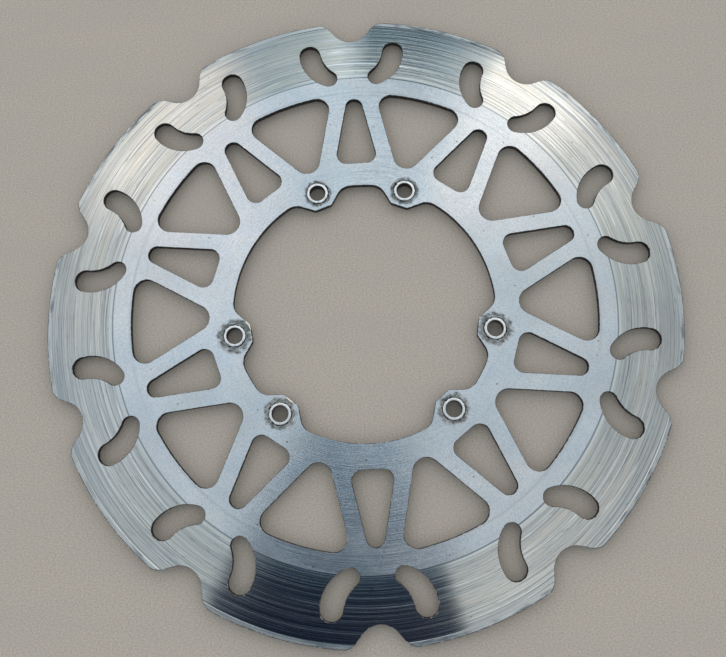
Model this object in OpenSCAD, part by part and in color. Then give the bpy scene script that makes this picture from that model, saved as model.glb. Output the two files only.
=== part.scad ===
// Brake disc for a motorcycle front wheel: a one-piece wave rotor with six pressed-in bushes.
// It lies flat. +Z is the outer face. z = 0 is the plane of the bushes' hub-side faces.
// Lengths are millimetres. Angles are degrees, anticlockwise from +Y unless a comment says otherwise.

/* [Plate] */
// outside diameter over the rim
disc_d = 320; // [317:0.5:324]
// thickness of the unworn plate
plate_t = 3.5; // [3:0.1:5]
// inner diameter of the band the pads sweep
track_in_d = 253.6; // [245:0.1:260]
// outer diameter of the band the pads sweep
track_out_d = 315.6; // [310:0.1:316.6]
// wear of the swept band, each face
track_wear = 0.1; // [0.05:0.05:0.5]
// turn of the wave pattern from the bolt pattern
wave_turn = 1.3; // [0:0.1:36]
// number of waves round the rim
wave_count = 10; // [8:1:10]

/* [Rim notches] */
// radius from the disc's axis to the bottom of a notch
notch_floor_r = 148.7; // [148:0.1:151]
// radius of the arc at the bottom of a notch
notch_r = 11; // [8:0.5:13]
// slope of a notch's flank from the rim's tangent
notch_flank = 51; // [45:1:60]
// length of the straight part of a flank
notch_straight = 4; // [2:0.5:5]
// radius that rounds a flank over to the rim
notch_shoulder_r = 9; // [6:0.5:12]

/* [Kidney slots] */
// radius of the slot's outer end
slot_outer_r = 5.5; // [4:0.1:5.5]
// radius of the slot's inner end
slot_inner_r = 4.4; // [3.5:0.1:5]
// radius of the slot's bulging side
slot_bulge_r = 20; // [19.9:0.1:21]
// radius of the slot's hollow side
slot_hollow_r = 17.2; // [16.5:0.1:17.3]
// sideways offset of the bulging side's centre from the notch axis
slot_bulge_x = 7.95; // [7.8:0.05:8.5]
// distance of the bulging side's centre from the disc's axis
slot_bulge_y = 142.3; // [141:0.1:142.8]
// distance of the hollow side's centre from the disc's axis, on the notch axis
slot_hollow_y = 144.9; // [144.4:0.1:146]

/* [Tapered windows] */
// distance of the flat inner edge from the disc's axis
taper_floor = 78.5; // [75:0.1:82]
// distance of the outer end's centre from the disc's axis
taper_top = 110.2; // [106:0.1:113]
// radius of the outer end
taper_top_r = 4.5; // [3:0.1:5.5]
// radius of the two inner corners
taper_corner_r = 5; // [3:0.1:6]
// slope of each side from the window's axis
taper_slope = 12; // [9:0.5:13]

/* [Triangular windows] */
// radius of the curved outer edge
tri_outer_r = 117.8; // [114:0.1:120]
// distance of the point where the two sides would meet from the disc's axis
tri_apex = 71.5; // [70:0.1:76]
// slope of each side from the window's axis
tri_slope = 30; // [26:0.5:31]
// radius of the inner corner
tri_tip_r = 6.75; // [4:0.05:8]
// radius of the two outer corners
tri_corner_r = 6.5; // [4:0.1:8]

/* [Hub] */
// radius of the hub opening between the lugs
hub_r = 66.2; // [65.5:0.1:68]
// radius of the hollow corners beside a lug
hub_fillet_r = 8; // [6:0.1:9]
// turn of the fillet on a lug's steep side from the pair's axis
hub_fillet_near = 5; // [3:0.1:6]
// turn of the fillet on a lug's shallow side from the pair's axis
hub_fillet_far = 35.1; // [34:0.1:38]
// sideways distance of the lug's blunt corner from the pair's axis
lug_corner_x = 15.45; // [14.5:0.05:17]
// distance of the lug's blunt corner from the disc's axis, along the pair's axis
lug_corner_y = 55.85; // [55:0.05:57]
// sideways distance of the lug's inner tip from the pair's axis
lug_tip_x = 23.75; // [23:0.05:24.5]
// distance of the lug's inner tip from the disc's axis, along the pair's axis
lug_tip_y = 52.75; // [52:0.05:54]
// radius on the lug's corner and tip
lug_round_r = 1.5; // [0.5:0.1:2]

/* [Bolts and bushes] */
// bolt circle diameter
bolt_circle_d = 132.5; // [130:0.1:135]
// angle between a bolt and its pair's axis
bolt_half_angle = 20; // [19:0.1:21]
// outside diameter of a bush
bush_d = 11; // [10:0.1:12]
// bore of a bush
bush_bore_d = 8.3; // [6:0.1:9]
// length of a bush
bush_len = 6; // [5.6:0.1:10]
// stand-out of a bush on the hub side of the plate
bush_back = 2; // [0:0.1:2.4]
// chamfer on a bush's edges
bush_chamfer = 0.3; // [0.1:0.05:0.5]

/* [Hidden] */
// facets of a small circle and of the large circles round the disc's axis
$fn = 96;
large_fn = 720;
disc_r = disc_d / 2;
bolt_r = bolt_circle_d / 2;
plate_z = bush_back;
wave_step = 360 / wave_count;
pair_count = 3;
pair_step = 360 / pair_count;
lug_corner = [lug_corner_x, lug_corner_y];
lug_tip = [lug_tip_x, lug_tip_y];
// arcs meet their neighbours with this much overlap, so that they cross cleanly
lap = 0.003;
// how far a cut runs past each face of the plate
past = 1;
// how far an outline runs past the edge or arc that trims it
overrun = 6;

// ---------- helpers ----------

function unit(v) = v / norm(v);
function mirrored(p) = [-p[0], p[1]];

// the point at radius r, turned clockwise by a from +Y
function polar(r, a) = [r * sin(a), r * cos(a)];

// the point at distances ra from a and rb from b, on the side that "side" (1 or -1) picks
function two_circles(a, ra, b, rb, side) =
    let (d = norm(b - a), k = (ra * ra - rb * rb + d * d) / (2 * d), u = unit(b - a))
    a + k * u + side * sqrt(ra * ra - k * k) * [-u[1], u[0]];

// the point where a line from p touches the circle of radius r round c
function touch(p, c, r, side) =
    let (d = norm(p - c), a = acos(r / d), u = unit(p - c))
    c + r * [u[0] * cos(a) - side * u[1] * sin(a), side * u[0] * sin(a) + u[1] * cos(a)];

// rounding of the corner k between the points a and b: centre, point on ka, point on kb
function rounding(a, k, b, r) =
    let (u = unit(a - k), v = unit(b - k), h = acos(u * v) / 2, t = r / tan(h))
    [k + r / sin(h) * unit(u + v), k + t * u, k + t * v];

// the points of one side, and then the same points mirrored, which closes the outline
function both_sides(side) =
    concat(side, [for (i = [len(side) - 1 : -1 : 0]) mirrored(side[i])]);

module disc(p, r) {
    translate(p) circle(r = r + lap);
}

// ---------- outlines, each on the +Y axis ----------

module notch_outline() {
    floor_c = [0, notch_floor_r + notch_r];
    foot = floor_c + notch_r * [sin(notch_flank), -cos(notch_flank)];
    top = foot + notch_straight * [cos(notch_flank), sin(notch_flank)];
    shoulder = top + notch_shoulder_r * [sin(notch_flank), -cos(notch_flank)];
    inside = shoulder + [0, notch_shoulder_r / 2];
    above = [shoulder[0], disc_r + overrun];
    disc(floor_c, notch_r);
    difference() {
        polygon(both_sides([foot, top, inside, above]));
        disc(shoulder, notch_shoulder_r);
        disc(mirrored(shoulder), notch_shoulder_r);
    }
}

module slot_outline() {
    bulge_c = [slot_bulge_x, slot_bulge_y];
    hollow_c = [0, slot_hollow_y];
    outer_c = two_circles(
        bulge_c, slot_bulge_r - slot_outer_r, hollow_c, slot_hollow_r + slot_outer_r, -1);
    inner_c = two_circles(
        bulge_c, slot_bulge_r - slot_inner_r, hollow_c, slot_hollow_r + slot_inner_r, 1);
    bulge_far = slot_bulge_r + overrun;
    hollow_near = slot_hollow_r - overrun;
    difference() {
        intersection() {
            translate(bulge_c) circle(r = slot_bulge_r);
            polygon([
                outer_c,
                bulge_c + bulge_far * unit(outer_c - bulge_c),
                bulge_c + bulge_far * unit(inner_c - bulge_c),
                inner_c,
                hollow_c + hollow_near * unit(inner_c - hollow_c),
                hollow_c + hollow_near * unit(outer_c - hollow_c)
            ]);
        }
        translate(hollow_c) circle(r = slot_hollow_r);
    }
    disc(outer_c, slot_outer_r);
    disc(inner_c, slot_inner_r);
}

module taper_outline() {
    side = [cos(taper_slope), sin(taper_slope)];
    reach = taper_top_r + taper_top * sin(taper_slope) - taper_corner_r;
    corner_y = taper_floor + taper_corner_r;
    corner = [(reach - corner_y * sin(taper_slope)) / cos(taper_slope), corner_y];
    high = [0, taper_top] + taper_top_r * side;
    low = corner + taper_corner_r * side;
    base = [corner[0], taper_floor];
    polygon(both_sides([high, low, base]));
    disc([0, taper_top], taper_top_r);
    disc(corner, taper_corner_r);
    disc(mirrored(corner), taper_corner_r);
}

module tri_outline() {
    side = [cos(tri_slope), -sin(tri_slope)];
    turn = tri_slope - asin((tri_apex * sin(tri_slope) + tri_corner_r) / (tri_outer_r - tri_corner_r));
    corner = polar(tri_outer_r - tri_corner_r, turn);
    low = corner + tri_corner_r * side;
    tip_c = [0, tri_apex + tri_tip_r / sin(tri_slope)];
    tip = tip_c + tri_tip_r * side;
    high = polar(tri_outer_r, turn);
    far = polar(tri_outer_r + overrun, turn);
    intersection() {
        circle(r = tri_outer_r, $fn = large_fn);
        polygon(both_sides([tip, low, high, far]));
    }
    disc(corner, tri_corner_r);
    disc(mirrored(corner), tri_corner_r);
    disc(tip_c, tri_tip_r);
}

// one lug, to the right of its pair's axis
module lug_outline() {
    near_c = polar(hub_r - hub_fillet_r, hub_fillet_near);
    far_c = polar(hub_r - hub_fillet_r, hub_fillet_far);
    near_touch = touch(lug_corner, near_c, hub_fillet_r, 1);
    far_touch = touch(lug_tip, far_c, hub_fillet_r, -1);
    blunt = rounding(near_touch, lug_corner, lug_tip, lug_round_r);
    tip = rounding(lug_corner, lug_tip, far_touch, lug_round_r);
    difference() {
        union() {
            polygon([
                polar(hub_r + overrun, hub_fillet_near), polar(hub_r, hub_fillet_near),
                near_touch, blunt[1], blunt[2], tip[1], tip[2], far_touch,
                polar(hub_r, hub_fillet_far), polar(hub_r + overrun, hub_fillet_far)
            ]);
            disc(blunt[0], lug_round_r);
            disc(tip[0], lug_round_r);
        }
        disc(near_c, hub_fillet_r);
        disc(far_c, hub_fillet_r);
    }
}

module hub_outline() {
    difference() {
        circle(r = hub_r, $fn = large_fn);
        for (pair = [0 : pair_count - 1]) {
            rotate(pair * pair_step) lug_outline();
            rotate(pair * pair_step) mirror([1, 0]) lug_outline();
        }
    }
}

// ---------- solids ----------

module through() {
    translate([0, 0, plate_z - past]) linear_extrude(height = plate_t + 2 * past) children();
}

// the ring that is worn off one face, cut from z upwards
module worn_band(z) {
    translate([0, 0, z]) difference() {
        cylinder(d = track_out_d, h = past, $fn = large_fn);
        translate([0, 0, -past]) cylinder(d = track_in_d, h = 3 * past, $fn = large_fn);
    }
}

// odd numbers are anticlockwise of their pair's axis, even numbers clockwise
module bolt_place(number) {
    pair = floor((number - 1) / 2);
    side = (number % 2 == 1) ? 1 : -1;
    rotate(pair * pair_step + side * bolt_half_angle) translate([0, bolt_r, 0]) children();
}

module rotor_plate() {
    color([0.66, 0.70, 0.73]) difference() {
        translate([0, 0, plate_z]) cylinder(r = disc_r, h = plate_t, $fn = large_fn);
        worn_band(plate_z + plate_t - track_wear);
        worn_band(plate_z + track_wear - past);
        for (wave = [0 : wave_count - 1]) {
            rotate(wave_turn + wave * wave_step) through() notch_outline();
            rotate(wave_turn + wave * wave_step) through() slot_outline();
            rotate(wave_turn + wave * wave_step) through() mirror([1, 0]) slot_outline();
            rotate(wave_turn + wave * wave_step) through() taper_outline();
            rotate(wave_turn + (wave + 0.5) * wave_step) through() tri_outline();
        }
        through() hub_outline();
        for (number = [1 : 2 * pair_count])
            bolt_place(number) translate([0, 0, plate_z - past])
                cylinder(d = bush_d, h = plate_t + 2 * past);
    }
}

module bush(number) {
    c = bush_chamfer;
    ro = bush_d / 2;
    ri = bush_bore_d / 2;
    color([0.80, 0.80, 0.81]) bolt_place(number) rotate_extrude() polygon([
        [ri + c, 0], [ro - c, 0], [ro, c], [ro, bush_len - c],
        [ro - c, bush_len], [ri + c, bush_len], [ri, bush_len - c], [ri, c]
    ]);
}

module bush_1() { bush(1); }
module bush_2() { bush(2); }
module bush_3() { bush(3); }
module bush_4() { bush(4); }
module bush_5() { bush(5); }
module bush_6() { bush(6); }

rotor_plate();
bush_1();
bush_2();
bush_3();
bush_4();
bush_5();
bush_6();
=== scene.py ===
"""Looks of a used motorcycle brake disc: a wave rotor with six pressed-in bushes, lying flat.

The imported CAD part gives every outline, size and place. Two kinds of detailed mesh stand for its
nodes: the rotor plate, with its worn band, grooves and broken edges, and the bushes.
Lengths are metres unless a name says otherwise. The disc's axis is Z and it rests on z = 0.
"""

import math
from collections import namedtuple

import bpy
import numpy as np
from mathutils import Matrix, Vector, noise
from mathutils.geometry import delaunay_2d_cdt
from mathutils.kdtree import KDTree


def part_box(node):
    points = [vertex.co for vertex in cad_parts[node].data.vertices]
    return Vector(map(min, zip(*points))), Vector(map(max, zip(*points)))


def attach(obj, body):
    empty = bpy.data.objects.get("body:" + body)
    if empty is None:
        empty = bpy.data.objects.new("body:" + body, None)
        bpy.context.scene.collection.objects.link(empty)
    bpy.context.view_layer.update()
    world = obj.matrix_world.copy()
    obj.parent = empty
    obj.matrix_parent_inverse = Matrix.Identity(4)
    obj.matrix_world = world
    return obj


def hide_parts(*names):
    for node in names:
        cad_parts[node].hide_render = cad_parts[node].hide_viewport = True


MM = 0.001
BODY = "root"
PLATE = "rotor_plate"
BUSHES = [f"bush_{number}" for number in range(1, 7)]

# ---------- the worn band ----------

TRACK_INNER = 126.8 * MM
TRACK_OUTER = 157.8 * MM
TRACK_DEPTH = 0.1 * MM
STEP_WIDTH = 0.25 * MM
GROOVE_RADII = [radius * MM for radius in (128.3, 129.5, 134.1, 139.3, 146.8, 152.4, 155.5)]
GROOVE_DEPTH = 0.006 * MM
GROOVE_HALF_WIDTH = 0.2 * MM

# ---------- the plate's edges ----------

EDGE_BREAK = 0.22 * MM
RIM_EDGE_BREAK = 0.34 * MM
BUSH_EDGE_BREAK = 0.55 * MM
EDGE_STEPS = 3

# Wear makes an edge's break larger and smaller by this share, in broad and fine patches per metre.
EDGE_WEAR = 0.35
BROAD_WEAR = 90
FINE_WEAR = 420
FINE_SHARE = 0.6

# Staking left this many scallops round each bush. They reach this far from its centre.
SCALLOPS = 15
SCALLOP_LEAST = 0.55
SCALLOP_SWING = 0.75
BUSH_HOLE_REACH = 7 * MM

# Noise moves the scallops round by about this many radians. The scale sets each bush apart.
SCALLOP_SHIFT = 2
SCALLOP_SHIFT_SCALE = 50

# Two lugs have a nick on their edge, at these offsets from their bush's centre.
NICKS = {"bush_3": (5.5 * MM, 7.6 * MM), "bush_4": (7.3 * MM, 5.5 * MM)}
NICK_REACH = 3.2 * MM
NICK_BREAK = 0.75 * MM

# ---------- the bushes ----------

BUSH_OUTER_ROUND = 0.22 * MM
BUSH_BORE_ROUND = 0.2 * MM

# Dents reach this far down a bush's side and in over its end, and lower it by this share of their depth.
DENTED_HEIGHT = 1.1 * MM
DENTED_WIDTH = 0.6 * MM
DENT_LOWERS = 0.5

# Each kind's depth in millimetres, and how closely soft dents and chips follow each other round a bush.
SOFT_DENT_MM = 0.45
CHIP_MM = 0.25
STAKE_MARK_MM = 0.12
DENTS_ROUND = 4.5
CHIPS_ROUND = 14

# How far grime spreads from each bush over the plate, in the order of their names.
GRIME_REACH = [reach * MM for reach in (1.5, 1.7, 2.6, 3.0, 2.8, 2.4)]
GRIME_RAGGED = 3.5

# ---------- mesh density ----------

RING_POINTS = 480
LONGEST_EDGE = 1.5 * MM
SHORTEST_SPLIT = 0.35 * MM
CORNER_TURN = math.radians(14)
FILL_SPACING = 2.6 * MM
FILL_CLEARANCE = FILL_SPACING * 0.55
SAME_POINT = 0.01 * MM
MERGE_MM = 1e-5
POINTS_AT_ONCE = 2000
BUSH_SEGMENTS = 144
BUSH_OUTER_STEPS = 6
BUSH_BORE_STEPS = 4
SHARP_ANGLE = math.radians(40)

# ---------- colours, as linear red, green and blue ----------

GROUND_DARK = (0.43, 0.44, 0.44)
GROUND_LIGHT = (0.75, 0.75, 0.735)
GROUND_DULL = (0.47, 0.49, 0.50)
GROUND_BROWNED = (0.50, 0.49, 0.47)
GROUND_WARM = (0.64, 0.60, 0.52)
GROUND_OUTSIDE = (0.40, 0.45, 0.48)
GROUND_PIT = (0.13, 0.13, 0.13)
# A painted highlight beyond the foot of the band's inner step, and painted shade along the step.
STEP_PAINTED_HIGHLIGHT = (0.80, 0.82, 0.82)
STEP_PAINTED_SHADE = (0.14, 0.17, 0.20)

LIP_DARK = (0.44, 0.46, 0.47)
LIP_LIGHT = (0.66, 0.67, 0.66)
LIP_BLOTCH = (0.13, 0.15, 0.17)

SATIN_DARK = (0.64, 0.65, 0.68)
SATIN_LIGHT = (0.78, 0.77, 0.79)
SATIN_BLUED = (0.62, 0.68, 0.74)
SATIN_WARM = (0.70, 0.68, 0.66)
SATIN_RING = (0.42, 0.46, 0.50)
SATIN_GRAIN = (0.44, 0.47, 0.50)
SATIN_PIT = (0.12, 0.12, 0.12)
SATIN_STAIN = (0.30, 0.33, 0.36)
GRIME = (0.13, 0.14, 0.135)

EDGE_DARK = (0.06, 0.057, 0.054)
EDGE_BARE = (0.62, 0.63, 0.63)
EDGE_GRIMY_DARK = (0.04, 0.04, 0.038)
EDGE_GRIMY_LIGHT = (0.40, 0.40, 0.38)
# Bare steel at the two worn nicks, brightened and warmed as a painted highlight.
BARE_NICK_AND_HIGHLIGHT = (0.95, 0.90, 0.76)

# The cut walls: dark oxide, made near black as painted shade.
WALL_OXIDE_AND_SHADE_DARK = (0.012, 0.012, 0.013)
WALL_OXIDE_AND_SHADE_LIGHT = (0.050, 0.048, 0.046)
WALL_DUST = (0.060, 0.044, 0.030)

BUSH_BRIGHT = (0.93, 0.94, 0.95)
BUSH_STAINED = (0.66, 0.67, 0.68)
# A bush's sides and bore: stain, made darker as painted shade in the bore.
BUSH_SIDE_STAIN_AND_SHADE_LIGHT = (0.10, 0.095, 0.09)
BUSH_SIDE_STAIN_AND_SHADE_DARK = (0.035, 0.033, 0.03)

CARD_DARK = (0.375, 0.325, 0.277)
CARD_LIGHT = (0.610, 0.535, 0.462)
CARD_CLOUD = (0.425, 0.385, 0.345)

# ---------- fine lines on the band ----------

# per_mm: how quickly they change with radius. turn: how quickly they change around the disc.
# Scratches only roughen the band, so they have no strength or colour.
Lines = namedtuple("Lines", "per_mm turn detail half_width strength colour")
DARK_LINES = Lines(0.62, 0.5, 1, 0.026, 0.85, (0.17, 0.19, 0.20))
FAINT_LINES = Lines(1.3, 0.9, 1, 0.05, 0.55, (0.32, 0.33, 0.335))
SHORT_LINES = Lines(1.2, 6, 1, 0.035, 0.6, (0.25, 0.26, 0.27))
BRIGHT_LINES = Lines(0.6, 0.7, 1, 0.018, 0.8, (0.95, 0.95, 0.92))
RIM_LINES = Lines(0.75, 0.35, 0, 0.05, 0.75, (0.20, 0.22, 0.24))
SCRATCHES = Lines(0.8, 0.45, 1, 0.035, None, None)

# Radii in millimetres between which the outer part of the band darkens and its rim lines set in,
# and those where a painted highlight beyond the foot of its inner step comes up, and where the
# painted shade along the step itself fades out.
OUTER_SHADE_FROM_TO = (147, 156)
RIM_LINES_FROM_TO = (148, 152)
STEP_HIGHLIGHT_FROM_TO = (TRACK_INNER / MM + 2.6, TRACK_INNER / MM + 1.3)
STEP_SHADE_FROM_TO = (TRACK_INNER / MM + 0.4, TRACK_INNER / MM + 1.0)

# A faint ring of stain on the plate, inside the band: its radius in millimetres.
STAIN_RADIUS = 118.5

# The share of squares without a pit, and the smallest pit as a share of its square.
SPECK_CHANCE = 0.4
SMALLEST_SPECK = 0.001

# ---------- light: colours by compass angle in degrees ----------

# The sectors turn round this slope of X and Y to Z. Other values are slopes away from that axis.
SECTOR_AXIS = (0.011, -0.195)
EVENED_FROM_TO = (0.27, 0.21)
OUTER_FROM_TO = (0.292, 0.300)
LOW_FROM_TO = (0.5, 0.8)
BRIGHTEST = 2.0

# Close to the axis, the sectors are mixed with this share of an even light.
EVEN_SHARE = 0.3
EVEN_LIGHT = (0.25, 0.34, 0.39)

INNER_SECTORS = [
    (0, (0.64, 0.74, 0.79)),
    (13, (0.60, 0.69, 0.72)),
    (24, (1.06, 1.15, 1.18)),
    (46, (0.64, 0.72, 0.76)),
    (60, (0.88, 0.96, 0.99)),
    (80, (1.48, 1.58, 1.58)),
    (96, (1.10, 1.26, 1.34)),
    (108, (0.55, 0.70, 0.77)),
    (122, (0.74, 0.87, 0.97)),
    (145, (0.75, 0.84, 0.94)),
    (168, (1.06, 1.13, 1.17)),
    (192, (0.87, 0.97, 1.04)),
    (212, (0.60, 0.70, 0.77)),
    (230, (0.50, 0.61, 0.68)),
    (242, (0.42, 0.53, 0.60)),
    (250, (0.02, 0.065, 0.115)),
    (278, (0.02, 0.065, 0.115)),
    (287, (0.42, 0.51, 0.55)),
    (302, (0.39, 0.48, 0.54)),
    (316, (0.48, 0.57, 0.62)),
    (336, (0.66, 0.79, 0.85)),
    (352, (0.78, 0.88, 0.92)),
]
OUTER_SECTORS = [
    (0, (0.56, 0.62, 0.62)),
    (22, (0.86, 0.89, 0.88)),
    (36, (1.1, 1.08, 1.03)),
    (44, (2.0, 1.92, 1.80)),
    (60, (2.0, 1.94, 1.80)),
    (62.5, (0.95, 1.03, 1.06)),
    (67, (0.50, 0.61, 0.68)),
    (71, (0.24, 0.36, 0.43)),
    (76, (0.07, 0.155, 0.215)),
    (87.5, (0.03, 0.12, 0.18)),
    (90, (0.50, 0.64, 0.72)),
    (94, (0.86, 0.97, 1.0)),
    (99, (0.60, 0.70, 0.73)),
    (112, (0.58, 0.68, 0.75)),
    (121, (1.35, 1.26, 1.16)),
    (148, (1.5, 1.45, 1.36)),
    (156, (1.1, 1.08, 1.05)),
    (163, (0.66, 0.69, 0.69)),
    (180, (0.68, 0.73, 0.75)),
    (192, (0.58, 0.66, 0.72)),
    (216, (0.66, 0.72, 0.75)),
    (239, (0.64, 0.70, 0.72)),
    (242, (0.05, 0.06, 0.09)),
    (248, (0.017, 0.021, 0.044)),
    (262, (0.002, 0.004, 0.024)),
    (279, (0.018, 0.021, 0.044)),
    (285, (0.03, 0.04, 0.07)),
    (287, (0.76, 0.79, 0.79)),
    (294, (0.88, 0.90, 0.89)),
    (312, (0.78, 0.80, 0.80)),
    (340, (0.54, 0.58, 0.60)),
]
LOW_SECTORS = [
    (0, (0.80, 0.85, 0.88)),
    (30, (1.0, 1.02, 1.02)),
    (90, (1.2, 1.28, 1.33)),
    (150, (1.05, 1.08, 1.10)),
    (190, (0.85, 0.92, 0.96)),
    (236, (0.68, 0.74, 0.78)),
    (264, (0.60, 0.66, 0.70)),
    (290, (0.64, 0.69, 0.72)),
    (330, (0.60, 0.64, 0.67)),
]

# ---------- floor and camera ----------

FLOOR_REACH = 3.0
CAMERA_PLACE = (0.0046, -0.0820, 0.4261)
CAMERA_TURN = [math.radians(degrees) for degrees in (13.487, 1.006, -1.537)]
LENS_MM = 42.15
SENSOR_MM = 36
CAMERA_SHIFT_UP = -0.0767
CLIP_FROM_TO = (0.01, 20)

# ---------- what the frame gives ----------

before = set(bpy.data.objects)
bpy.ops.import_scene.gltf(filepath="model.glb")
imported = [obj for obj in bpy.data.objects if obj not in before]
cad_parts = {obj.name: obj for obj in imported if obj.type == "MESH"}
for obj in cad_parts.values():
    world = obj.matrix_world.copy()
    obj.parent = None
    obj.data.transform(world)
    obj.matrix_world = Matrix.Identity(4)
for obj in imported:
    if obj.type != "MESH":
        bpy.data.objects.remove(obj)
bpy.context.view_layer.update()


def node_points(name):
    """The node's vertices as an array, in the row frame."""
    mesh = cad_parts[name].data
    points = np.empty(len(mesh.vertices) * 3)
    mesh.vertices.foreach_get("co", points)
    return points.reshape(-1, 3)


plate_low, plate_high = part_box(PLATE)
PLATE_BOTTOM = plate_low.z
PLATE_TOP = plate_high.z
PLATE_MIDDLE = (PLATE_BOTTOM + PLATE_TOP) / 2
PLATE_HALF = (PLATE_TOP - PLATE_BOTTOM) / 2
PLATE_RADIUS = plate_high.x

bush_boxes = {name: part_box(name) for name in BUSHES}
bush_centres = {name: (lowest + highest) / 2 for name, (lowest, highest) in bush_boxes.items()}
BUSH_RADIUS = (bush_boxes[BUSHES[0]][1].x - bush_boxes[BUSHES[0]][0].x) / 2
first_bush = node_points(BUSHES[0])[:, :2] - bush_centres[BUSHES[0]].xy
BUSH_BORE = np.hypot(*first_bush.T).min()
nick_places = [bush_centres[name].xy + Vector(offset) for name, offset in NICKS.items()]


# ---------- plate mesh ----------

BAND, LIP, CARRIER, EDGE, WALL = range(5)


def cell_of(point):
    """The small square that a point lies in, which points at the same place share."""
    return round(point[0] / SAME_POINT), round(point[1] / SAME_POINT)


def wall_loops(name):
    """The closed outlines of a plate: the upper edges of its upright walls, as arrays of XY points."""
    points = node_points(name)
    near_top = PLATE_TOP - 2 * TRACK_DEPTH
    place, neighbours = {}, {}
    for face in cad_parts[name].data.polygons:
        corners = [points[i] for i in face.vertices]
        heights = [corner[2] for corner in corners]
        if max(heights) - min(heights) < PLATE_HALF:
            continue
        for start, end in zip(corners, corners[1:] + corners[:1]):
            if min(start[2], end[2]) <= near_top or cell_of(start) == cell_of(end):
                continue
            for here, there in ((start, end), (end, start)):
                place[cell_of(here)] = here[:2]
                neighbours.setdefault(cell_of(here), []).append(cell_of(there))
    loops, seen = [], set()
    for first in place:
        if first in seen:
            continue
        loop, here = [], first
        while here is not None:
            seen.add(here)
            loop.append(place[here])
            here = next((cell for cell in neighbours[here] if cell not in seen), None)
        loops.append(np.array(loop))
    return loops


def unit(vectors):
    """The 2-D vectors, each made one long."""
    return vectors / np.linalg.norm(vectors, axis=1)[:, None]


def refined(loop):
    """The loop with each edge split along the curve that its neighbours give, corners kept."""
    after = np.roll(loop, -1, axis=0) - loop
    before = np.roll(after, 1, axis=0)
    length = np.linalg.norm(after, axis=1)
    along = unit(after)
    back = np.roll(along, 1, axis=0)
    turn = np.arctan2(back[:, 0] * along[:, 1] - back[:, 1] * along[:, 0], (back * along).sum(1))
    tangent = unit(before + after)
    sharp = np.abs(turn) > CORNER_TURN
    made = []
    for i in range(len(loop)):
        j = (i + 1) % len(loop)
        leave = along[i] if sharp[i] else tangent[i]
        arrive = along[i] if sharp[j] else tangent[j]
        parts = max(1, math.ceil(length[i] / LONGEST_EDGE))
        if SHORTEST_SPLIT < length[i] < LONGEST_EDGE and not (sharp[i] or sharp[j]):
            parts = 2
        for part in range(parts):
            s = part / parts
            made.append(
                loop[i] * (1 - s) ** 2 * (1 + 2 * s)
                + loop[j] * s * s * (3 - 2 * s)
                + length[i] * (leave * s * (1 - s) ** 2 - arrive * s * s * (1 - s))
            )
    return np.array(made)


def outward_of(loop):
    """Unit vectors out of the material at each point of a loop that has the material on its left."""
    along = unit(np.roll(loop, -1, axis=0) - loop)
    outward = np.stack([along[:, 1], -along[:, 0]], axis=1)
    return unit(outward + np.roll(outward, 1, axis=0))


def doubled_area(loop):
    """Twice the area inside a loop, which is negative for a clockwise one."""
    ahead = np.roll(loop, -1, axis=0)
    return np.sum(loop[:, 0] * ahead[:, 1] - ahead[:, 0] * loop[:, 1])


def with_material_left(loops):
    """The loops, each turned so that the material is on its left: outer one anticlockwise."""
    areas = [doubled_area(loop) for loop in loops]
    outer = int(np.argmax(np.abs(areas)))
    return [
        loop if (area > 0) == (number == outer) else loop[::-1]
        for number, (loop, area) in enumerate(zip(loops, areas))
    ]


def edge_break(x, y):
    """How far the plate's edge is broken at a point: scalloped round a bush, small and uneven elsewhere."""
    here = Vector((x, y))
    wear = noise.noise(Vector((x, y, 0)) * BROAD_WEAR)
    wear += FINE_SHARE * noise.noise(Vector((x, y, 1)) * FINE_WEAR)
    uneven = 1 + EDGE_WEAR * wear
    centre = min(bush_centres.values(), key=lambda c: (here - c.xy).length)
    offset = here - centre.xy
    if offset.length > BUSH_HOLE_REACH:
        size = RIM_EDGE_BREAK if math.hypot(x, y) > TRACK_OUTER else EDGE_BREAK
        away = min((here - nick).length for nick in nick_places)
        nicked = max(0, 1 - (away / NICK_REACH) ** 2)
        return (size + (NICK_BREAK - size) * nicked) * uneven
    turn = math.atan2(offset.y, offset.x)
    shift = noise.noise(Vector((centre.x * SCALLOP_SHIFT_SCALE, centre.y * SCALLOP_SHIFT_SCALE, turn)))
    scallop = abs(math.sin(turn * SCALLOPS / 2 + SCALLOP_SHIFT * shift))
    return BUSH_EDGE_BREAK * uneven * (SCALLOP_LEAST + SCALLOP_SWING * scallop)


def breaks_along(points):
    """The edge's break at each of the points."""
    return np.array([edge_break(x, y) for x, y in points])


def inside_material(points, loops):
    """Which points lie in the plate, by counting outline crossings."""
    start = np.concatenate(loops)
    end = np.concatenate([np.roll(loop, -1, axis=0) for loop in loops])
    inside = np.zeros(len(points), bool)
    for first in range(0, len(points), POINTS_AT_ONCE):
        some = points[first : first + POINTS_AT_ONCE, None]
        spans = (start[:, 1] > some[..., 1]) != (end[:, 1] > some[..., 1])
        rise = np.where(end[:, 1] == start[:, 1], 1, end[:, 1] - start[:, 1])
        cross_x = start[:, 0] + (some[..., 1] - start[:, 1]) * (end[:, 0] - start[:, 0]) / rise
        crossed = (spans & (some[..., 0] < cross_x)).sum(1)
        inside[first : first + POINTS_AT_ONCE] = crossed % 2 == 1
    return inside


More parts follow.
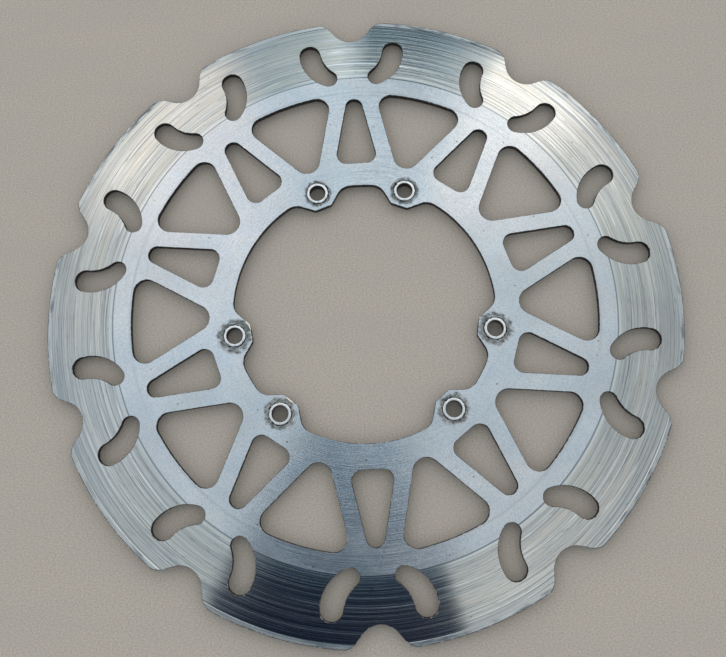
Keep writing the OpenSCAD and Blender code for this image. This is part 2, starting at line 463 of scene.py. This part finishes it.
def wear_profile():
    """(radius, depth) points of the plate's face: the worn band's steps and its deepest grooves."""
    points = [(TRACK_INNER, 0), (TRACK_INNER + STEP_WIDTH, TRACK_DEPTH)]
    for radius in GROOVE_RADII:
        points.append((radius - GROOVE_HALF_WIDTH, TRACK_DEPTH))
        points.append((radius, TRACK_DEPTH + GROOVE_DEPTH))
        points.append((radius + GROOVE_HALF_WIDTH, TRACK_DEPTH))
    points += [(TRACK_OUTER - STEP_WIDTH, TRACK_DEPTH), (TRACK_OUTER, 0)]
    return np.array(points)


def ring(radius, count):
    """Points evenly round a circle about the axis."""
    angles = np.arange(count) * 2 * math.pi / count
    return radius * np.stack([np.cos(angles), np.sin(angles)], axis=1)


def face_points(loops, rings):
    """Points that fill the plate's face evenly, clear of its outlines and rings."""
    edges = np.concatenate(loops + rings)
    tree = KDTree(len(edges))
    for number, point in enumerate(edges):
        tree.insert((point[0], point[1], 0), number)
    tree.balance()
    row_height = FILL_SPACING * math.sqrt(3) / 2
    rows = int(2 * PLATE_RADIUS / row_height)
    columns = int(2 * PLATE_RADIUS / FILL_SPACING)
    grid = np.array(
        [
            (-PLATE_RADIUS + (column + (row % 2) / 2) * FILL_SPACING, -PLATE_RADIUS + row * row_height)
            for row in range(rows)
            for column in range(columns)
        ]
    )
    grid = grid[inside_material(grid, loops)]
    return np.array([p for p in grid if tree.find((p[0], p[1], 0))[2] > FILL_CLEARANCE])


def triangulated(loops, rings, fill):
    """Flat triangles between the loops, with an edge along every loop and ring."""
    groups = loops + rings
    points = np.concatenate(groups + [fill])
    edges, first = [], 0
    for group in groups:
        count = len(group)
        edges += [(first + i, first + (i + 1) % count) for i in range(count)]
        first += count
    result = delaunay_2d_cdt([Vector(p) for p in points / MM], edges, [], 0, MERGE_MM, False)
    flat = np.array([(v.x, v.y) for v in result[0]]) * MM
    faces = np.array([face for face in result[2] if len(face) == 3])
    faces = faces[inside_material(flat[faces].mean(axis=1), loops)]
    used = np.unique(faces)
    renumber = np.full(len(flat), -1)
    renumber[used] = np.arange(len(used))
    return flat[used], renumber[faces]


def boundary_loops(faces):
    """Vertex loops round the triangles, with the triangles on their left."""
    directed = {(a, b) for face in faces.tolist() for a, b in zip(face, face[1:] + face[:1])}
    following = {a: b for a, b in directed if (b, a) not in directed}
    loops = []
    while following:
        first, here = following.popitem()
        loop = [first]
        while here != first:
            loop.append(here)
            here = following.pop(here)
        loops.append(loop)
    return loops


def face_materials(middles):
    """The material of each triangle of the face, by the radius of its middle."""
    radius = np.hypot(*middles.T)
    kinds = np.where(radius < TRACK_INNER, CARRIER, BAND)
    return np.where(radius > TRACK_OUTER, LIP, kinds).tolist()


def plate_face():
    """The plate's upper face: flat points, their depth below the unworn face, and triangles."""
    outlines = with_material_left([refined(loop) for loop in wall_loops(PLATE)])
    inset = [loop - outward_of(loop) * breaks_along(loop)[:, None] for loop in outlines]
    profile = wear_profile()
    rings = [ring(radius, RING_POINTS) for radius in profile[:, 0]]
    flat, faces = triangulated(inset, rings, face_points(inset, rings))
    depth = np.interp(np.hypot(*flat.T), profile[:, 0], profile[:, 1])
    return flat, depth, faces


def rounded_edges(flat, depth, faces):
    """The broken edges round the face: rows of points, quads, and the loops they end in."""
    rows, quads, rims = [], [], []
    count = len(flat)
    for loop in boundary_loops(faces):
        outward = outward_of(flat[loop])
        breaks = breaks_along(flat[loop])
        before = loop
        for step in range(1, EDGE_STEPS + 1):
            angle = step / EDGE_STEPS * math.pi / 2
            moved = flat[loop] + outward * (breaks * math.sin(angle))[:, None]
            height = PLATE_HALF - depth[loop] - breaks * (1 - math.cos(angle))
            rows.append(np.column_stack([moved, height]))
            current = list(range(count, count + len(loop)))
            count += len(loop)
            for i in range(len(loop)):
                j = (i + 1) % len(loop)
                quads.append((before[j], before[i], current[i], current[j]))
            before = current
        rims.append(before)
    return rows, quads, rims


def plate_mesh():
    """The rotor plate: face triangles, a rounded edge round every outline, walls, and the mirrored back."""
    flat, depth, faces = plate_face()
    rows, quads, rims = rounded_edges(flat, depth, faces)
    upper = np.concatenate([np.column_stack([flat, PLATE_HALF - depth])] + rows)
    count = len(upper)
    vertices = np.concatenate([upper, upper * (1, 1, -1)]) + (0, 0, PLATE_MIDDLE)
    front = faces.tolist() + quads
    back = [tuple(vertex + count for vertex in reversed(face)) for face in front]
    walls = []
    for rim in rims:
        for here, ahead in zip(rim, rim[1:] + rim[:1]):
            walls.append((ahead, here, here + count, ahead + count))
    mesh = bpy.data.meshes.new("plate_finished")
    mesh.from_pydata(vertices.tolist(), [], front + walls + back)
    materials = face_materials(flat[faces].mean(axis=1)) + [EDGE] * len(quads)
    mesh.polygons.foreach_set("material_index", materials + [WALL] * len(walls) + materials)
    smooth = [False] * len(faces) + [True] * len(quads)
    mesh.polygons.foreach_set("use_smooth", smooth + [True] * len(walls) + smooth)
    mesh.validate()
    mesh.update()
    return mesh


# ---------- bush mesh ----------


def arc(centre, radius, start, end, steps):
    """Points (radius, height) along an arc, in a bush's section. Its angles are in degrees."""
    angles = [math.radians(start + (end - start) * i / steps) for i in range(steps + 1)]
    return [(centre[0] + radius * math.cos(a), centre[1] + radius * math.sin(a)) for a in angles]


def bush_section(outer, half):
    """A bush's section as (radius, height) points, from its outer radius and half its height.

    It goes up the outside, over the end, down the bore and back the same way below the middle.
    """
    corner = (outer - BUSH_OUTER_ROUND, half - BUSH_OUTER_ROUND)
    bore_corner = (BUSH_BORE + BUSH_BORE_ROUND, half - BUSH_BORE_ROUND)
    section = [(outer, 0)]
    section += arc(corner, BUSH_OUTER_ROUND, 0, 90, BUSH_OUTER_STEPS)
    section.append(((outer + BUSH_BORE) / 2, half))
    section += arc(bore_corner, BUSH_BORE_ROUND, 90, 180, BUSH_BORE_STEPS)
    section.append((BUSH_BORE, 0))
    return section + [(r, -z) for r, z in reversed(section[1:-1])]


def edge_dent(angle, number):
    """How deep a bush's edge is dented at an angle: soft dents, small chips and the staking's marks.

    The bush's number moves both noises along, so that no two bushes have the same dents.
    """
    direction = Vector((math.cos(angle), math.sin(angle), 0))
    dents = noise.noise(direction * DENTS_ROUND + Vector((0, 0, 7 * number)))
    chips = noise.noise(direction * CHIPS_ROUND + Vector((0, 0, 3 + 5 * number)))
    staked = abs(math.sin(angle * SCALLOPS / 2 + SCALLOP_SHIFT * dents))
    return (max(0, dents) * SOFT_DENT_MM + max(0, chips) * CHIP_MM + STAKE_MARK_MM * staked) * MM


def bush_mesh(name, number):
    """A bush as a turned ring: rounded edges, and a dented outer edge where it was staked."""
    lowest, highest = bush_boxes[name]
    outer = (highest.x - lowest.x) / 2
    half = (highest.z - lowest.z) / 2
    section = bush_section(outer, half)
    dented_from = half - DENTED_HEIGHT
    vertices = []
    for i in range(BUSH_SEGMENTS):
        angle = 2 * math.pi * i / BUSH_SEGMENTS
        dent = edge_dent(angle, number)
        for r, z in section:
            on_edge = max(0, (abs(z) - dented_from) / (half - dented_from))
            outside = max(0, min(1, (r - (outer - DENTED_WIDTH)) / DENTED_WIDTH))
            r -= dent * on_edge * outside
            z -= math.copysign(dent * DENT_LOWERS * on_edge * outside, z)
            vertices.append((r * math.cos(angle), r * math.sin(angle), z))
    ring_size = len(section)
    faces = []
    for i in range(BUSH_SEGMENTS):
        here = i * ring_size
        there = (i + 1) % BUSH_SEGMENTS * ring_size
        for k in range(ring_size):
            m = (k + 1) % ring_size
            faces.append((here + k, there + k, there + m, here + m))
    mesh = bpy.data.meshes.new(name + "_finished")
    mesh.from_pydata(vertices, [], faces)
    mesh.polygons.foreach_set("use_smooth", [True] * len(faces))
    mesh.set_sharp_from_angle(angle=SHARP_ANGLE)
    mesh.validate()
    mesh.update()
    return mesh


# ---------- shader node helpers ----------


def add(tree, kind, inputs=None, **settings):
    """A new node with its settings and inputs; an input is a value or another node's socket."""
    made = tree.nodes.new(kind)
    for name, value in settings.items():
        setattr(made, name, value)
    for name, value in (inputs or {}).items():
        if isinstance(value, bpy.types.NodeSocket):
            tree.links.new(value, made.inputs[name])
        else:
            made.inputs[name].default_value = value
    return made


def link(tree, value, socket):
    """A link from one socket to another."""
    tree.links.new(value, socket)


def maths(tree, operation, *values):
    """The result of a Math node."""
    return add(tree, "ShaderNodeMath", dict(enumerate(values)), operation=operation).outputs[0]


def times(tree, *values):
    """The product of the values."""
    product = values[0]
    for value in values[1:]:
        product = maths(tree, "MULTIPLY", product, value)
    return product


def vector_maths(tree, operation, *values):
    """The result of a Vector Math node, a number where the operation gives one."""
    made = add(tree, "ShaderNodeVectorMath", dict(enumerate(values)), operation=operation)
    return made.outputs["Value"] if operation == "LENGTH" else made.outputs[0]


def scaled(tree, vector, scale):
    """The vector times a number."""
    return add(tree, "ShaderNodeVectorMath", {0: vector, "Scale": scale}, operation="SCALE").outputs[0]


def noise_of(tree, vector, scale, detail=3, roughness=0.5):
    """Noise with about this many patches to the metre, from 0 to 1 and mostly near 0.5."""
    inputs = {"Vector": vector, "Scale": scale, "Detail": detail, "Roughness": roughness}
    return add(tree, "ShaderNodeTexNoise", inputs).outputs["Fac"]


def remap(tree, value, low, high, to_low=0.0, to_high=1.0):
    """The value moved from one range to another, held inside it."""
    inputs = {"Value": value, "From Min": low, "From Max": high, "To Min": to_low, "To Max": to_high}
    return add(tree, "ShaderNodeMapRange", inputs, clamp=True).outputs["Result"]


def mix_colour(tree, factor, a, b):
    """Colour a, going to colour b where the factor is 1. Each colour is a triple or a socket."""
    made = add(tree, "ShaderNodeMix", data_type="RGBA")
    sockets = {socket.identifier: socket for socket in made.inputs}
    link(tree, factor, sockets["Factor_Float"])
    for colour, name in ((a, "A_Color"), (b, "B_Color")):
        if isinstance(colour, bpy.types.NodeSocket):
            link(tree, colour, sockets[name])
        else:
            sockets[name].default_value = (*colour, 1)
    return next(socket for socket in made.outputs if socket.identifier == "Result_Color")


def layered(tree, colour, layers):
    """The colour with (factor, colour) layers laid over it in turn."""
    for factor, over in layers:
        colour = mix_colour(tree, factor, colour, over)
    return colour


def bump(tree, height, distance, normal=None):
    """The surface normal that a height gives."""
    inputs = {"Height": height, "Distance": distance}
    if normal is not None:
        inputs["Normal"] = normal
    return add(tree, "ShaderNodeBump", inputs).outputs["Normal"]


def new_material(name):
    """A material with only a Principled shader: (material, tree, shader)."""
    material = bpy.data.materials.new(name)
    material.use_nodes = True
    tree = material.node_tree
    tree.nodes.clear()
    shader = add(tree, "ShaderNodeBsdfPrincipled")
    add(tree, "ShaderNodeOutputMaterial", {"Surface": shader.outputs[0]})
    return material, tree, shader


def place_of(tree):
    """Where a point is, in its piece's own frame."""
    return add(tree, "ShaderNodeTexCoord").outputs["Object"]


def polar(tree, place):
    """(radius in millimetres, unit vector away from the axis) at a point."""
    flat = vector_maths(tree, "MULTIPLY", place, (1, 1, 0))
    radius = maths(tree, "DIVIDE", vector_maths(tree, "LENGTH", flat), MM)
    return radius, vector_maths(tree, "NORMALIZE", flat)


def ring_noise(tree, radius, around, per_mm, turn, detail=2):
    """Noise that changes quickly with radius and slowly around the disc, as turned grooves do."""
    across = times(tree, radius, per_mm)
    raised = add(tree, "ShaderNodeCombineXYZ", {"Z": across}).outputs[0]
    spread = vector_maths(tree, "ADD", scaled(tree, around, turn), raised)
    return noise_of(tree, spread, scale=1, detail=detail)


def thin_lines(tree, radius, around, lines):
    """1 along thin lines where the noise passes through its middle, 0 elsewhere."""
    value = ring_noise(tree, radius, around, lines.per_mm, lines.turn, lines.detail)
    away = maths(tree, "ABSOLUTE", maths(tree, "SUBTRACT", value, 0.5))
    return remap(tree, away, 0.0, lines.half_width, 1.0, 0.0)


def line_layer(tree, radius, around, lines, share=1.0):
    """A layer of the lines' colour where they run, at a share of their strength."""
    drawn = thin_lines(tree, radius, around, lines)
    return times(tree, drawn, share, lines.strength), lines.colour


def specks_of(tree, place, spacing, largest):
    """1 in small round pits, at most one to each square of the spacing, and 0 elsewhere."""
    inputs = {"Vector": place, "Scale": 1 / spacing}
    cells = add(tree, "ShaderNodeTexVoronoi", inputs, voronoi_dimensions="2D")
    chance = add(tree, "ShaderNodeSeparateXYZ", {0: cells.outputs["Color"]}).outputs["X"]
    size = remap(tree, chance, SPECK_CHANCE, 1.0, 0.0, largest / spacing)
    no_smaller = maths(tree, "MAXIMUM", size, SMALLEST_SPECK)
    away = maths(tree, "DIVIDE", cells.outputs["Distance"], no_smaller)
    return remap(tree, away, 0.6, 1.0, 1.0, 0.0)


def tilted_rings(tree, radius, around, amount):
    """The surface normal, leaning a little round the disc by an amount that differs ring by ring."""
    uneven = ring_noise(tree, radius, around, per_mm=0.9, turn=1.5, detail=3)
    lean = maths(tree, "SUBTRACT", uneven, 0.5)
    sideways = vector_maths(tree, "CROSS_PRODUCT", (0, 0, 1), around)
    shift = scaled(tree, sideways, times(tree, lean, 2 * amount))
    normal = add(tree, "ShaderNodeNewGeometry").outputs["Normal"]
    return vector_maths(tree, "NORMALIZE", vector_maths(tree, "ADD", normal, shift))


def turned_finish(tree, shader):
    """Metal with its fine lines round the disc's axis, which stretch reflections along the radius."""
    tangent = add(tree, "ShaderNodeTangent", direction_type="RADIAL", axis="Z")
    link(tree, tangent.outputs[0], shader.inputs["Tangent"])
    shader.inputs["Metallic"].default_value = 1
    shader.inputs["Anisotropic"].default_value = 1
    shader.inputs["Anisotropic Rotation"].default_value = 0.25


# ---------- materials ----------


def band_material():
    """The swept band: steel ground in rings by the pads."""
    material, tree, shader = new_material("ground_band")
    place = place_of(tree)
    radius, around = polar(tree, place)
    wide = ring_noise(tree, radius, around, per_mm=0.22, turn=0.7)
    fine = ring_noise(tree, radius, around, per_mm=2.8, turn=0.8, detail=3)
    warm = ring_noise(tree, radius, around, per_mm=0.3, turn=2.2)
    patches = noise_of(tree, place, scale=22, detail=4, roughness=0.6)
    pits = specks_of(tree, place, spacing=16 * MM, largest=0.45 * MM)
    fading = remap(tree, patches, 0.35, 0.6, 0.2, 1.0)
    near_rim = remap(tree, radius, *RIM_LINES_FROM_TO)
    steel = mix_colour(tree, remap(tree, fine, 0.36, 0.62), GROUND_DARK, GROUND_LIGHT)
    colour = layered(
        tree,
        steel,
        [
            (remap(tree, wide, 0.42, 0.60, 0.0, 0.35), GROUND_DULL),
            (remap(tree, patches, 0.45, 0.65, 0.0, 0.35), GROUND_BROWNED),
            line_layer(tree, radius, around, FAINT_LINES),
            line_layer(tree, radius, around, SHORT_LINES),
            line_layer(tree, radius, around, DARK_LINES, fading),
            line_layer(tree, radius, around, BRIGHT_LINES),
            (remap(tree, warm, 0.48, 0.68, 0.0, 0.45), GROUND_WARM),
            line_layer(tree, radius, around, RIM_LINES, near_rim),
            (times(tree, pits, 0.8), GROUND_PIT),
            (remap(tree, radius, *OUTER_SHADE_FROM_TO, 0.0, 0.25), GROUND_OUTSIDE),
            # A painted highlight beyond the inner step, then painted shade along the step itself.
            (remap(tree, radius, *STEP_HIGHLIGHT_FROM_TO, 0.0, 0.5), STEP_PAINTED_HIGHLIGHT),
            (remap(tree, radius, *STEP_SHADE_FROM_TO, 0.8, 0.0), STEP_PAINTED_SHADE),
        ],
    )
    link(tree, colour, shader.inputs["Base Color"])
    rough = remap(tree, fine, 0.2, 0.8, 0.06, 0.095)
    for lines, roughening in ((SCRATCHES, 0.075), (FAINT_LINES, 0.02)):
        scratched = times(tree, thin_lines(tree, radius, around, lines), roughening)
        rough = maths(tree, "ADD", rough, scratched)
    link(tree, rough, shader.inputs["Roughness"])
    ridges = ring_noise(tree, radius, around, per_mm=0.9, turn=0.5, detail=1)
    tilted = tilted_rings(tree, radius, around, 0.0015)
    link(tree, bump(tree, ridges, 0.03 * MM, tilted), shader.inputs["Normal"])
    turned_finish(tree, shader)
    return material


def lip_material():
    """The narrow unworn lip at the rim: grey steel with dark blotches drawn out round the disc."""
    material, tree, shader = new_material("dull_lip")
    place = place_of(tree)
    radius, around = polar(tree, place)
    lines = ring_noise(tree, radius, around, per_mm=1.6, turn=3, detail=3)
    blotch = ring_noise(tree, radius, around, per_mm=0.7, turn=16, detail=4)
    stained = remap(tree, noise_of(tree, place, scale=7), 0.42, 0.58, 0.25, 1.0)
    dark = times(tree, remap(tree, blotch, 0.48, 0.62, 0.0, 0.9), stained)
    steel = mix_colour(tree, remap(tree, lines, 0.35, 0.65), LIP_DARK, LIP_LIGHT)
    link(tree, mix_colour(tree, dark, steel, LIP_BLOTCH), shader.inputs["Base Color"])
    link(tree, remap(tree, blotch, 0.3, 0.7, 0.16, 0.30), shader.inputs["Roughness"])
    link(tree, bump(tree, lines, 0.012 * MM), shader.inputs["Normal"])
    turned_finish(tree, shader)
    return material


def bush_grime(tree, place):
    """1 beside a bush and 0 where its grime ends, with an uneven edge."""
    ragged = noise_of(tree, place, scale=330, detail=5, roughness=0.65)
    cloud = times(tree, maths(tree, "SUBTRACT", ragged, 0.5), GRIME_RAGGED)
    grime = 0.0
    for name, reach in zip(BUSHES, GRIME_REACH):
        offset = vector_maths(tree, "SUBTRACT", place, tuple(bush_centres[name]))
        flat = vector_maths(tree, "MULTIPLY", offset, (1, 1, 0))
        beyond = maths(tree, "SUBTRACT", vector_maths(tree, "LENGTH", flat), BUSH_RADIUS)
        spread = maths(tree, "SUBTRACT", maths(tree, "DIVIDE", beyond, reach), cloud)
        near = remap(tree, beyond, reach, 2 * reach, 1.0, 0.0)
        here = times(tree, remap(tree, spread, 0.6, 1.3, 1.0, 0.0), near)
        grime = maths(tree, "MAXIMUM", grime, here)
    return grime


def carrier_material():
    """The unworn plate: satin steel with a fine grain, faint rings, specks, and grime round the bushes."""
    material, tree, shader = new_material("satin_carrier")
    place = place_of(tree)
    radius, around = polar(tree, place)
    cloud = noise_of(tree, place, scale=30, detail=4, roughness=0.6)
    tint = noise_of(tree, place, scale=55, detail=3, roughness=0.6)
    grain = noise_of(tree, place, scale=1150, detail=3, roughness=0.7)
    specks = specks_of(tree, place, spacing=13 * MM, largest=0.55 * MM)
    rings = ring_noise(tree, radius, around, per_mm=0.8, turn=1.2)
    off_stain = maths(tree, "ABSOLUTE", maths(tree, "SUBTRACT", radius, STAIN_RADIUS))
    stain = times(tree, remap(tree, off_stain, 0.2, 1.0, 0.3, 0.0), remap(tree, cloud, 0.4, 0.6))
    grime = bush_grime(tree, place)
    smudges = noise_of(tree, place, scale=650, detail=5, roughness=0.75)
    smudge = remap(tree, smudges, 0.38, 0.58, 0.4, 1.0)
    steel = mix_colour(tree, remap(tree, cloud, 0.35, 0.65), SATIN_DARK, SATIN_LIGHT)
    colour = layered(
        tree,
        steel,
        [
            (remap(tree, tint, 0.45, 0.65, 0.0, 0.5), SATIN_BLUED),
            (remap(tree, tint, 0.50, 0.32, 0.0, 0.4), SATIN_WARM),
            (remap(tree, rings, 0.30, 0.42, 0.15, 0.0), SATIN_RING),
            (remap(tree, grain, 0.44, 0.64, 0.0, 0.42), SATIN_GRAIN),
            (times(tree, specks, 0.85), SATIN_PIT),
            (stain, SATIN_STAIN),
            (times(tree, grime, smudge), GRIME),
        ],
    )
    link(tree, colour, shader.inputs["Base Color"])
    rough = maths(tree, "ADD", remap(tree, cloud, 0.3, 0.7, 0.13, 0.17), times(tree, grime, 0.25))
    link(tree, rough, shader.inputs["Roughness"])
    grooves = ring_noise(tree, radius, around, per_mm=4, turn=3, detail=1)
    height = maths(tree, "ADD", grain, times(tree, rings, 0.25))
    normal = bump(tree, height, 0.010 * MM, bump(tree, grooves, 0.04 * MM))
    link(tree, normal, shader.inputs["Normal"])
    turned_finish(tree, shader)
    return material


def edge_material():
    """The broken edges: darkened steel with small bright nicks, mottled with grime beside a bush, and two
    worn nicks in a painted warm highlight.
    """
    material, tree, shader = new_material("broken_edge")
    place = place_of(tree)
    chips = noise_of(tree, place, scale=700)
    worn = noise_of(tree, place, scale=60)
    bright = times(tree, remap(tree, chips, 0.50, 0.66), remap(tree, worn, 0.35, 0.6, 0.3, 1.0))
    steel = mix_colour(tree, bright, EDGE_DARK, EDGE_BARE)
    mottle = mix_colour(tree, remap(tree, chips, 0.42, 0.60), EDGE_GRIMY_DARK, EDGE_GRIMY_LIGHT)
    layers = [(bush_grime(tree, place), mottle)]
    # Each worn nick gets bare steel with a painted warm highlight.
    for nick in nick_places:
        offset = vector_maths(tree, "SUBTRACT", place, (*nick, PLATE_TOP))
        away = vector_maths(tree, "LENGTH", offset)
        layers.append((remap(tree, away, 0.6 * NICK_REACH, NICK_REACH, 1.0, 0.0), BARE_NICK_AND_HIGHLIGHT))
    link(tree, layered(tree, steel, layers), shader.inputs["Base Color"])
    link(tree, remap(tree, chips, 0.3, 0.7, 0.3, 0.55), shader.inputs["Roughness"])
    link(tree, bump(tree, chips, 0.03 * MM), shader.inputs["Normal"])
    shader.inputs["Metallic"].default_value = 1
    return material


def wall_material():
    """The cut walls: dark oxide taken near black as painted shade, with the fine upright lines of a laser
    cut and rusty dust.
    """
    material, tree, shader = new_material("cut_wall")
    place = place_of(tree)
    upright = vector_maths(tree, "MULTIPLY", place, (1, 1, 0.06))
    lines = noise_of(tree, upright, scale=2200, detail=2)
    dust = noise_of(tree, place, scale=150)
    # Near-black wall colour: dark oxide with painted shade.
    cut = mix_colour(tree, remap(tree, lines, 0.35, 0.7), WALL_OXIDE_AND_SHADE_DARK, WALL_OXIDE_AND_SHADE_LIGHT)
    colour = mix_colour(tree, remap(tree, dust, 0.55, 0.75, 0.0, 0.5), cut, WALL_DUST)
    link(tree, colour, shader.inputs["Base Color"])
    link(tree, remap(tree, dust, 0.3, 0.7, 0.6, 0.8), shader.inputs["Roughness"])
    link(tree, bump(tree, lines, 0.05 * MM), shader.inputs["Normal"])
    shader.inputs["Specular IOR Level"].default_value = 0.15
    return material


def bush_material():
    """The bushes: bright turned steel on the ends, with sides and bore made dark by stain and painted
    shade.
    """
    material, tree, shader = new_material("turned_bush")
    place = place_of(tree)
    radius, around = polar(tree, place)
    turning = ring_noise(tree, radius, around, per_mm=5, turn=1)
    stain = noise_of(tree, place, scale=420, detail=4)
    height = maths(tree, "ABSOLUTE", add(tree, "ShaderNodeSeparateXYZ", {0: place}).outputs["Z"])
    near_end = remap(tree, height, 2.3 * MM, 2.6 * MM)
    bore = BUSH_BORE / MM
    end_face = times(tree, near_end, remap(tree, radius, bore, bore + 0.12))
    # Sides and bore: stain with painted shade.
    side = mix_colour(tree, remap(tree, stain, 0.4, 0.6), BUSH_SIDE_STAIN_AND_SHADE_LIGHT, BUSH_SIDE_STAIN_AND_SHADE_DARK)
    end = mix_colour(tree, remap(tree, stain, 0.42, 0.7), BUSH_BRIGHT, BUSH_STAINED)
    link(tree, mix_colour(tree, end_face, side, end), shader.inputs["Base Color"])
    link(tree, remap(tree, stain, 0.3, 0.7, 0.26, 0.42), shader.inputs["Roughness"])
    link(tree, bump(tree, maths(tree, "ADD", turning, stain), 0.012 * MM), shader.inputs["Normal"])
    shader.inputs["Metallic"].default_value = 1
    return material


def floor_material():
    """The floor: pale matt card with a fine fibre, a little darker in clouds."""
    material, tree, shader = new_material("pale_floor")
    place = place_of(tree)
    drawn_out = vector_maths(tree, "MULTIPLY", place, (0.6, 1, 1))
    fibre = noise_of(tree, drawn_out, scale=1700, detail=3, roughness=0.6)
    streaked = vector_maths(tree, "MULTIPLY", place, (0.25, 1, 1))
    cloud = noise_of(tree, streaked, scale=45)
    card = mix_colour(tree, remap(tree, fibre, 0.3, 0.7), CARD_DARK, CARD_LIGHT)
    colour = mix_colour(tree, remap(tree, cloud, 0.3, 0.7, 0.0, 0.25), card, CARD_CLOUD)
    link(tree, colour, shader.inputs["Base Color"])
    shader.inputs["Roughness"].default_value = 0.9
    return material


# ---------- pieces ----------


def new_piece(name, mesh, materials, location=(0, 0, 0)):
    """An object in the scene with this mesh and these materials."""
    for material in materials:
        mesh.materials.append(material)
    piece = bpy.data.objects.new(name, mesh)
    piece.location = location
    bpy.context.scene.collection.objects.link(piece)
    return piece


def build_plate():
    """The rotor plate, with its materials in the order of BAND to WALL."""
    materials = [band_material(), lip_material(), carrier_material(), edge_material(), wall_material()]
    plate = new_piece("plate_finished", plate_mesh(), materials)
    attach(plate, BODY)
    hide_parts(PLATE)


def build_bushes():
    """The six bushes, each with dents of its own."""
    steel = bush_material()
    for number, name in enumerate(BUSHES, 1):
        bush = new_piece(name + "_finished", bush_mesh(name, number), [steel], bush_centres[name])
        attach(bush, BODY)
        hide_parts(name)


# ---------- floor, light and camera ----------


def build_floor():
    """The plain floor that the disc lies on."""
    corners = [(x * FLOOR_REACH, y * FLOOR_REACH, 0) for x, y in ((-1, -1), (1, -1), (1, 1), (-1, 1))]
    mesh = bpy.data.meshes.new("floor")
    mesh.from_pydata(corners, [], [(0, 1, 2, 3)])
    new_piece("floor", mesh, [floor_material()])


def sector_colour(tree, turn, sectors):
    """The colour at a turn of 0 to 1, from (degrees, colour) stops, as a share of BRIGHTEST."""
    ramp = add(tree, "ShaderNodeValToRGB", {"Fac": turn})
    elements = ramp.color_ramp.elements
    while len(elements) < len(sectors):
        elements.new(0.5)
    for element, (angle, _) in zip(elements, sectors):
        element.position = angle / 360
    for element, (_, colour) in zip(elements, sectors):
        element.color = (*[channel / BRIGHTEST for channel in colour], 1)
    return ramp.outputs["Color"]


def build_world():
    """Soft light from all round, in sectors round the direction that mirrors the camera off the disc."""
    world = bpy.data.worlds.new("studio")
    bpy.context.scene.world = world
    world.use_nodes = True
    tree = world.node_tree
    tree.nodes.clear()
    direction = add(tree, "ShaderNodeTexCoord").outputs["Generated"]
    x, y, z = add(tree, "ShaderNodeSeparateXYZ", {0: direction}).outputs
    up = maths(tree, "MAXIMUM", z, 0.0)
    side = maths(tree, "ADD", x, times(tree, up, SECTOR_AXIS[0]))
    ahead = maths(tree, "ADD", y, times(tree, up, SECTOR_AXIS[1]))
    turns = maths(tree, "DIVIDE", maths(tree, "ARCTAN2", ahead, side), 2 * math.pi)
    turn = maths(tree, "FRACT", maths(tree, "ADD", turns, 1.0))
    offset = add(tree, "ShaderNodeCombineXYZ", {"X": side, "Y": ahead}).outputs[0]
    slope = maths(tree, "DIVIDE", vector_maths(tree, "LENGTH", offset), maths(tree, "MAXIMUM", up, 0.01))
    light = layered(
        tree,
        sector_colour(tree, turn, INNER_SECTORS),
        [
            (remap(tree, slope, *EVENED_FROM_TO, 0.0, EVEN_SHARE), EVEN_LIGHT),
            (remap(tree, slope, *OUTER_FROM_TO), sector_colour(tree, turn, OUTER_SECTORS)),
            (remap(tree, slope, *LOW_FROM_TO), sector_colour(tree, turn, LOW_SECTORS)),
        ],
    )
    background = add(tree, "ShaderNodeBackground", {"Color": light, "Strength": BRIGHTEST})
    add(tree, "ShaderNodeOutputWorld", {"Surface": background.outputs[0]})


def build_camera():
    """The camera: close above the disc, a little to one side of its axis and turned to its middle."""
    data = bpy.data.cameras.new("camera")
    data.lens = LENS_MM
    data.sensor_width = SENSOR_MM
    data.sensor_fit = "HORIZONTAL"
    data.shift_y = CAMERA_SHIFT_UP
    data.clip_start, data.clip_end = CLIP_FROM_TO
    camera = bpy.data.objects.new("camera", data)
    camera.location = CAMERA_PLACE
    camera.rotation_euler = CAMERA_TURN
    bpy.context.scene.collection.objects.link(camera)
    bpy.context.scene.camera = camera


build_camera()
build_floor()
build_world()
build_plate()
build_bushes()
bpy.context.scene.view_settings.view_transform = "Standard"
